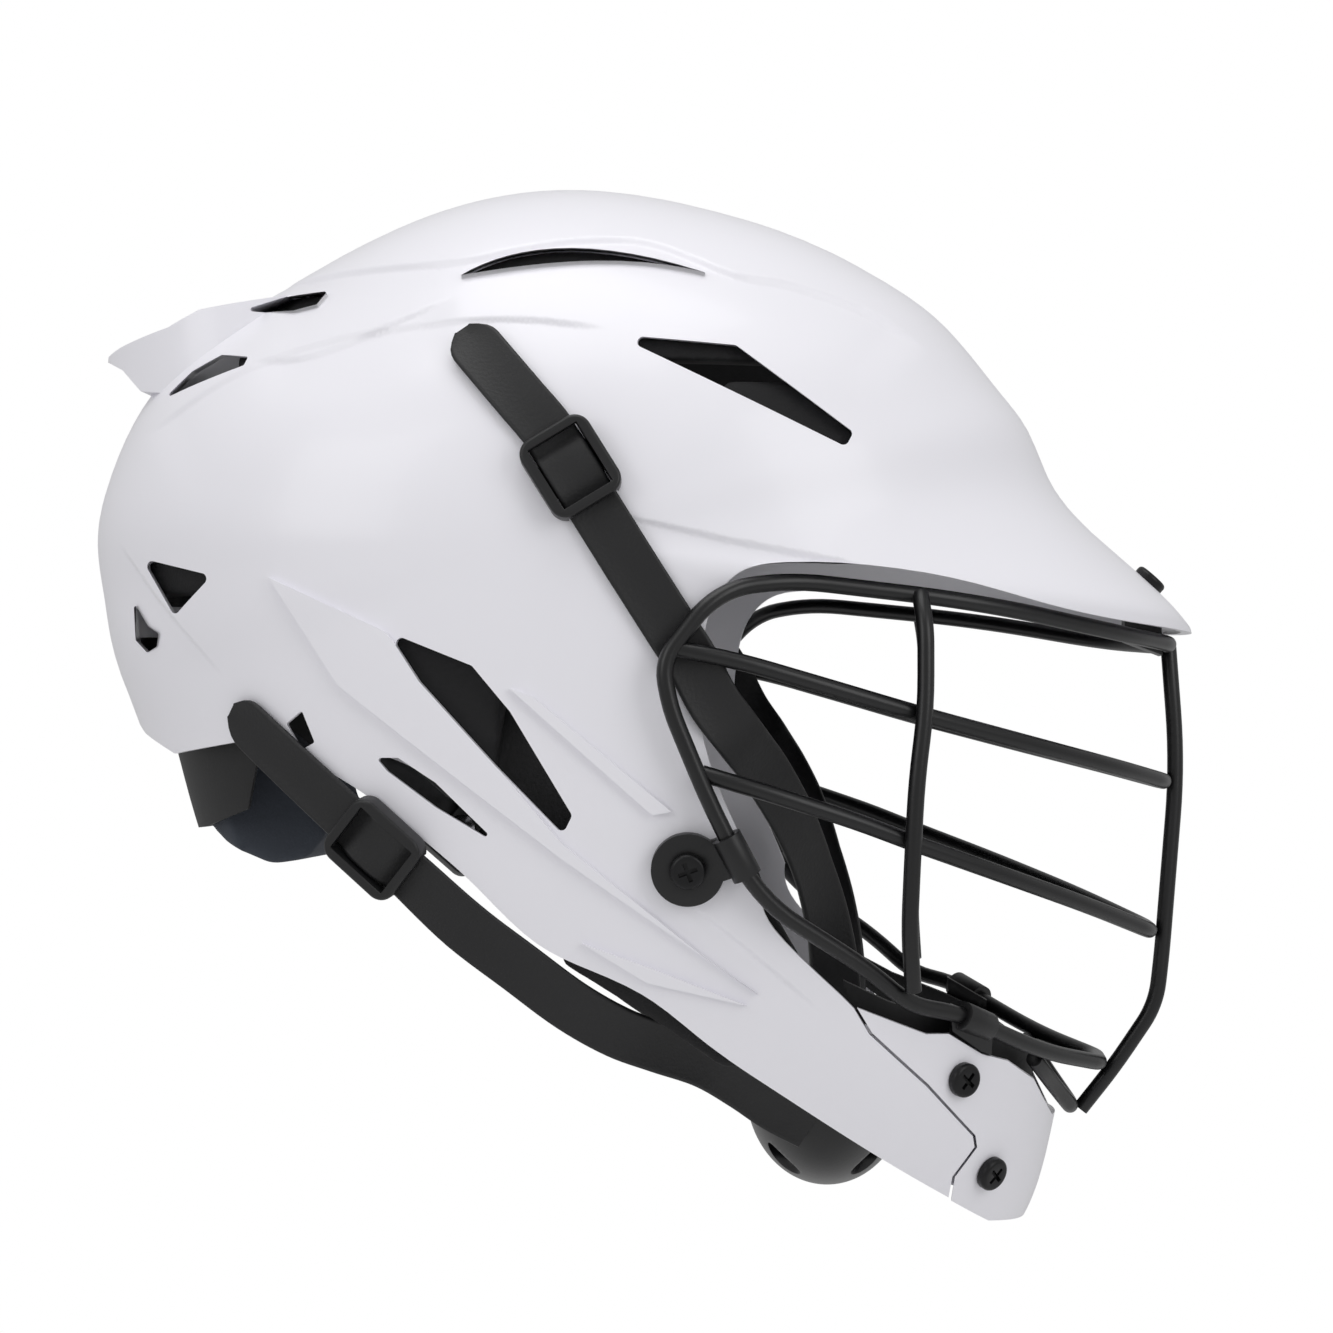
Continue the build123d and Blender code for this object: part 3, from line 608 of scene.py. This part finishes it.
print("a face follows the form within", round(np.degrees(np.arccos(follows_form))), "degrees")

# %% Directions at rims and creases
slope_step = 0.3


def rim_directions(mesh, corners, face_of, own, free):
    """At each vertex the mean normal of the faces that leave the form, by their areas."""
    areas = read(mesh.polygons, "area")
    total = np.zeros((len(mesh.vertices), 3))
    np.add.at(total, corners[free], own[free] * areas[face_of[free], None])
    return unit(total)


def slope_of_press(x, z, direction):
    """How the pressed face leans at places in mm, along the surface."""
    slope = np.zeros_like(direction)
    slope[:, 0] = (pressed(x + slope_step, z) - pressed(x - slope_step, z)) / (2 * slope_step)
    slope[:, 2] = (pressed(x, z + slope_step) - pressed(x, z - slope_step)) / (2 * slope_step)
    return slope - direction * (slope * direction).sum(1, keepdims=True)


print("slope measured over", 2 * slope_step, "mm")

# %% Press the creases in and set the normals
rim_meets_form, rim_meets_face = 0.3, 0.7  # the least cosines for a rim's blend


def shade_by_form(obj):
    """Press the creases in and set normals from the form, so that no facet shows."""
    mesh = obj.data
    co = read(mesh.vertices, "co", width=3) / mm
    direction = outward(co)
    corners, face_of, own, on_form, facing, side = sides_of_form(mesh, direction)
    by_rim = rim_directions(mesh, corners, face_of, own, ~on_form)[corners]
    # the outer face is pressed in, and its normals lean with the slope of the press
    x, z = co[:, 0], co[:, 2]
    outer = side > 0
    press = np.where(outer, pressed(x, z), 0)
    leaning = unit(direction + slope_of_press(x, z, direction) * outer[:, None])
    mesh.vertices.foreach_set("co", ((co - direction * press[:, None]) * mm).ravel())
    # a corner has its face's normal, unless the rim's or the form's direction is near enough
    by_form = leaning[corners] * side[corners, None]
    normals = np.where(((by_rim * own).sum(1) > rim_meets_face)[:, None], by_rim, own)
    near_form = (side[corners] != 0) & ((by_form * own).sum(1) > rim_meets_form)
    normals = np.where(near_form[:, None], by_form, normals)
    normals = np.where(on_form[:, None], leaning[corners] * facing[:, None], normals)
    mesh.polygons.foreach_set("use_smooth", [True] * len(mesh.polygons))
    mesh.update()
    mesh.normals_split_custom_set(normals.tolist())
    print(obj.name, "pressed in by up to", round(float(press.max()), 2), "mm")


# %% [markdown]
# ## Shell and chin guard
# The two white mouldings have soft rims at every cut. They could be modelled anew from the outline,
# but the CAD solids already have every vent and rib in place. So a copy of each is merged into one
# skin, its rims are rounded by a bevel, its outer face is split, creases are pressed in where they
# run, which is on the shell alone, and the normals are set. The guard is screwed on, so both move
# with the shell's body.


# %% A free copy of a CAD node
def copy_of(name, new_name):
    """A copy of a CAD node at the origin, with its place in its mesh."""
    bpy.ops.object.select_all(action="DESELECT")
    nodes[name].select_set(True)
    bpy.context.view_layer.objects.active = nodes[name]
    bpy.ops.object.duplicate()
    obj = bpy.context.object
    obj.name = new_name
    for key in list(obj.keys()):
        del obj[key]
    obj.data.transform(obj.matrix_world)
    obj.parent = None
    obj.matrix_world = Matrix.Identity(4)
    print("copied", name)
    return obj


# %% Shell and chin guard
rim_radius, rim_segments = 0.7 * mm, 3


def moulded(name):
    """A copy of a CAD solid with rounded rims, its creases, and the form's own smooth shading."""
    obj = copy_of(name, f"{name}_moulded")
    bpy.ops.object.mode_set(mode="EDIT")
    bpy.ops.mesh.select_all(action="SELECT")
    bpy.ops.mesh.remove_doubles(threshold=join_distance)
    bpy.ops.object.mode_set(mode="OBJECT")
    round_edges(obj, rim_radius, rim_segments)
    bpy.ops.object.modifier_apply(modifier="rounded")
    refine(obj)
    shade_by_form(obj)
    dress(obj, white_plastic)
    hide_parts(name)
    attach(obj, "shell")
    print(obj.name, len(obj.data.polygons), "faces")


moulded("shell")
moulded("chin_guard")

# %% [markdown]
# ## Foam pads
# The pads are thick foam with soft corners, fixed inside the shell, the chin cup and the cradle.
# Cloth under pressure could swell them, but would press them into what they are fixed to. A voxel
# remesh turns each CAD block into an even skin instead, and a smooth modifier draws its corners in,
# so the pad stays about where CAD has it.

# %% Foam pads
foam_voxel = 1.3 * mm
shell_pads = (
    "crown_pad", "brow_pad", "back_pad", "temple_pad_right", "temple_pad_left",
    "jaw_pad_right", "jaw_pad_left",
)
pads = {name: (liner_foam, "liner_foam", "shell") for name in shell_pads}
pads["chin_cup_pad"] = (liner_foam, "cup_foam", "chin_cup")
pads["nape_pad"] = (nape_foam, "nape_foam", "nape_cradle")
for name, (mat, slot_name, body) in pads.items():
    pad = copy_of(name, f"{name}_foam")
    remesh = pad.modifiers.new("even", "REMESH")
    remesh.mode = "VOXEL"
    remesh.voxel_size = foam_voxel
    smooth = pad.modifiers.new("soft", "SMOOTH")
    smooth.iterations = 8
    smooth.factor = 0.6
    bpy.ops.object.modifier_apply(modifier="even")
    bpy.ops.object.modifier_apply(modifier="soft")
    for face in pad.data.polygons:
        face.use_smooth = True
    dress(pad, mat)
    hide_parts(name)
    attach(pad, body)
    print(pad.name, len(pad.data.polygons), "faces")

# %% [markdown]
# ## Webbing
# Each strap is a flat woven band, 14 mm wide, with a slightly raised edge. It could be a plane
# extruded along a curve, but a curve alone doesn't say which way the band faces. So one section is
# carried along a row of places, and each place has the direction that the band's face looks in. On
# the shell both come from the form, and off the shell they are listed. This way the band
# twists and bends evenly.

# %% The straps on the right side: lengths in mm
strap_width, strap_thickness = 14.0, 1.4
strap_gap = 0.9  # between the shell and the webbing
strap_rest = strap_gap + strap_thickness / 2
# of each strap: its snap, the headings of its free end and of its run down, and the free length
snaps = {
    "upper": ((11.9, 18.9), (-0.654, 0.757), (0.532, -0.846), 34.5),
    "lower": ((-39.5, -79), (-0.744, 0.667), (0.749, -0.662), 41),
}
# through the buckle: travel from the snap towards the free end, and lift off the rest height
buckle_pass = [(13, 0), (8.6, 0), (4.3, 1.6), (0, 1.9), (-4.3, 1.6), (-8.6, 0), (-10.6, 0)]
# down the shell: travel from the snap
skin_reaches = {"upper": [10.4, 26, 38, 50, 59], "lower": [10.4]}
print("straps:", 2 * len(snaps))

# %% Off the shell, down to the chin cup: place (x, share of the half width, z) and facing
free_runs = {
    "upper": [
        ((49, -0.972, -41.5), (0.2, -0.97, 0)), ((55.5, -0.925, -50.5), (0.3, -0.95, 0)),
        ((62, -0.81, -60), (0.4, -0.9, 0)), ((69, -0.71, -73), (0.5, -0.85, 0.1)),
        ((74, -0.6, -87), (0.6, -0.8, 0.1)), ((78, -0.5, -104), (0.5, -0.87, 0)),
        ((79.5, -0.43, -122), (0.2, -0.98, 0)), ((79, -0.387, -140), (0, -1, 0)),
        ((79, -0.387, -149.4), (0, -1, 0)),
    ],
    "lower": [
        ((-17, -0.9, -100), (0, -0.99, -0.1)), ((-2.6, -0.872, -111.2), (0.05, -0.98, -0.15)),
        ((10.7, -0.82, -121.6), (0.2, -0.96, -0.2)), ((22.5, -0.745, -129), (0.35, -0.9, -0.25)),
        ((33, -0.667, -133.5), (0.45, -0.85, -0.25)), ((45, -0.571, -138.5), (0.45, -0.82, -0.3)),
        ((55, -0.474, -145.5), (0.3, -0.88, -0.33)), ((64, -0.412, -152.5), (0.12, -0.92, -0.36)),
        ((72.5, -0.392, -157.3), (-0.02, -0.92, -0.385)),
    ],
}
print("places off the shell:", {kind: len(run) for kind, run in free_runs.items()})


# %% A smooth run through the places
def on_skin(x, z, out):
    """Place and outward direction on the right side, in mm."""
    point = np.array([[x, -float(width_at(np.array(x), np.array(z))), z]])
    direction = outward(point)[0]
    return point[0] + direction * out, direction


def slope_between(before, here, after, gap):
    """Slope at an inner place, scaled to the gap that it is used for."""
    reach = np.linalg.norm(here - before) + np.linalg.norm(after - here)
    return (after - before) / reach * gap


def smooth_run(stations, steps=6):
    """More stations in between, on a curve through the given ones."""
    p = np.array([place for place, _ in stations], float)
    n = unit(np.array([facing for _, facing in stations], float))
    last = len(p) - 2
    places, facings = [], []
    for i in range(last + 1):
        gap = np.linalg.norm(p[i + 1] - p[i])
        slope_start = slope_between(p[i - 1], p[i], p[i + 1], gap) if i else p[1] - p[0]
        slope_end = p[-1] - p[-2] if i == last else slope_between(p[i], p[i + 1], p[i + 2], gap)
        for t in np.linspace(0, 1, steps + 1)[: None if i == last else -1]:
            places.append(between(p[i], p[i + 1], slope_start, slope_end, t))
            facings.append(n[i] * (1 - t) + n[i + 1] * t)
    return np.array(places), np.array(facings)


print("half width at the upper snap:", round(-on_skin(*snaps["upper"][0], 0)[0][1], 1), "mm")

# %% The band's section: places across and up, in mm
half, high = strap_width / 2, strap_thickness / 2
corner = 0.35
# how far in the raised edge's top and its foot end, and how far the face lies below that top
rim, rim_foot, sunk = 1.1, 1.6, 0.18
section = [
    (-half, -high + corner), (-half + corner, -high), (0, -high), (half - corner, -high),
    (half, -high + corner), (half, high - corner), (half - corner, high), (half - rim, high),
    (half - rim_foot, high - sunk), (0, high - sunk), (-half + rim_foot, high - sunk),
    (-half + rim, high), (-half + corner, high), (-half, high - corner),
]
round_end_share = 0.35  # the width at the very tip of a rounded end, as a share


def ring_at(i, places, facings, travelled, round_start):
    """The section's points in mm around one place of a run."""
    run = places[min(i + 1, len(places) - 1)] - places[max(i - 1, 0)]
    run /= np.linalg.norm(run)
    facing = facings[i] - run * (facings[i] @ run)
    facing /= np.linalg.norm(facing)
    spread = np.cross(facing, run)
    narrow = 1.0
    if round_start and travelled[i] < half:
        narrow = max(round_end_share, sqrt(1 - (1 - travelled[i] / half) ** 2))
    return [places[i] + spread * across * narrow + facing * up for across, up in section]


print("section:", len(section), "points")


# %% Rings joined into a closed band
def band(places, facings, left, first, last, round_start):
    """Vertices in metres and faces of the band from the first to the last place."""
    flip = np.array([mm, -mm if left else mm, mm])
    travelled = np.concatenate([[0], np.cumsum(np.linalg.norm(np.diff(places, axis=0), axis=1))])
    count = len(section)
    verts, faces = [], []
    for i in range(first, last + 1):
        verts += [point * flip for point in ring_at(i, places, facings, travelled, round_start)]
        if i > first:
            a, b = (i - first - 1) * count, (i - first) * count
            for k in range(count):
                after = (k + 1) % count
                faces.append([a + k, a + after, b + after, b + k])
    faces += [list(range(count))[::-1], list(range(len(verts) - count, len(verts)))]
    # the mirrored side lists each face's corners the other way round
    return verts, ([face[::-1] for face in faces] if left else faces)


print("faces between two rings:", len(section))


# %% Webbing as a piece
def webbing_mesh(name, places, facings, left, stretch=None, round_start=False):
    """Flat band with soft edges, or a stretch of it; its start can be rounded in plan."""
    first, last = stretch or (0, len(places) - 1)
    verts, faces = band(places, facings, left, first, last, round_start)
    mesh = bpy.data.meshes.new(name)
    mesh.from_pydata(verts, [], faces)
    mesh.validate()
    obj = bpy.data.objects.new(name, mesh)
    bpy.context.collection.objects.link(obj)
    work = bmesh.new()
    work.from_mesh(mesh)
    bmesh.ops.recalc_face_normals(work, faces=work.faces)
    # the four-cornered faces along the band are smooth, and its cut ends have sharp edges
    for face in work.faces:
        face.smooth = len(face.verts) == 4
        if not face.smooth:
            for edge in face.edges:
                edge.smooth = False
    work.to_mesh(mesh)
    work.free()
    dress(obj, webbing)
    print(name, len(mesh.polygons), "faces")
    return obj


# %% [markdown]
# ## Straps
# A real strap is one piece, threaded through its buckle and fixed to the chin cup, and it bends
# when the buckle is pulled off or the cup drops. Here the tail, from the round free end through the
# buckle, is a piece that rides on the buckle. The run below it is made in two stretches, one from
# under the buckle and one down to the cup. They meet on the shell.

# %% Places of the tail and of the run
tail_shares = (1, 0.75, 0.5, 0.25)


def tail_stations(snap, up, down, tail_length):
    """From the free end up on the shell, bending into the buckle's axis and through it."""
    bend_at = buckle_pass[0][0]
    bend = (snap[0] - down[0] * bend_at, snap[1] - down[1] * bend_at)
    stations = []
    for share in tail_shares:
        reach = tail_length * share
        stations.append(on_skin(bend[0] + up[0] * reach, bend[1] + up[1] * reach, strap_rest))
    for reach, lift in buckle_pass:
        x, z = snap[0] - down[0] * reach, snap[1] - down[1] * reach
        stations.append(on_skin(x, z, strap_rest + lift))
    return stations


def run_stations(kind, snap, down):
    """From under the buckle down the shell and on to the chin cup."""
    stations = []
    for reach in skin_reaches[kind]:
        stations.append(on_skin(snap[0] + down[0] * reach, snap[1] + down[1] * reach, strap_rest))
    for (x, y, z), facing in free_runs[kind]:
        stations.append(((x, y * half_width, z), facing))
    return stations


print("places in a tail:", len(tail_shares) + len(buckle_pass))

# %% Straps
split = {"upper": 12, "lower": 6}  # where the two stretches of a run meet, counted in its places
sides = (("right", False), ("left", True))
for kind, (snap, up, down, tail_length) in snaps.items():
    tail_run = smooth_run(tail_stations(snap, up, down, tail_length))
    places, facings = smooth_run(run_stations(kind, snap, down))
    seam, tip = split[kind], len(places) - 1
    middle = (seam + tip) // 2
    for side, left in sides:
        buckle = f"buckle_{kind}_{side}"
        tail = webbing_mesh(f"tail_webbing_{kind}_{side}", *tail_run, left, round_start=True)
        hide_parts(f"strap_tail_{kind}_{side}")
        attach(tail, buckle)
        flip = Vector((mm, -mm if left else mm, mm))
        for part, stretch, bodies, ends in (
            ("snap_end", (0, seam), ("shell", buckle), (seam - 1, 0)),
            ("cup_end", (seam, tip), ("shell", "chin_cup"), (middle, tip)),
        ):
            run = webbing_mesh(f"webbing_{part}_{kind}_{side}", places, facings, left, stretch)
            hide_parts(f"strap_{kind}_{side}")
            start, end = [Vector(places[i]) * flip for i in ends]
            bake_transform(run)

# %% [markdown]
# ## Liner straps
# Behind the lower tip of each side vent the real helmet shows something black. It could be the end
# of a pad or a strap. A short strap of the same webbing fills the place, laid on the inner faces of
# the temple pad and the jaw pad, and needs no change to the pads. Its run is a guess.

# %% Liner straps: place and facing on the right side, in mm
liner_run = [
    ((-14, -86.3, -42.9), (0, -1, 0)), ((-6, -86, -52.4), (0, -1, -0.05)),
    ((5.7, -84.5, -66.1), (0, -1, -0.1)), ((18, -82, -80.6), (0, -1, -0.15)),
    ((28, -79.3, -92.3), (0, -1, -0.2)),
]
for side, left in sides:
    liner = webbing_mesh(f"liner_strap_{side}", *smooth_run(liner_run), left)
    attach(liner, "shell")
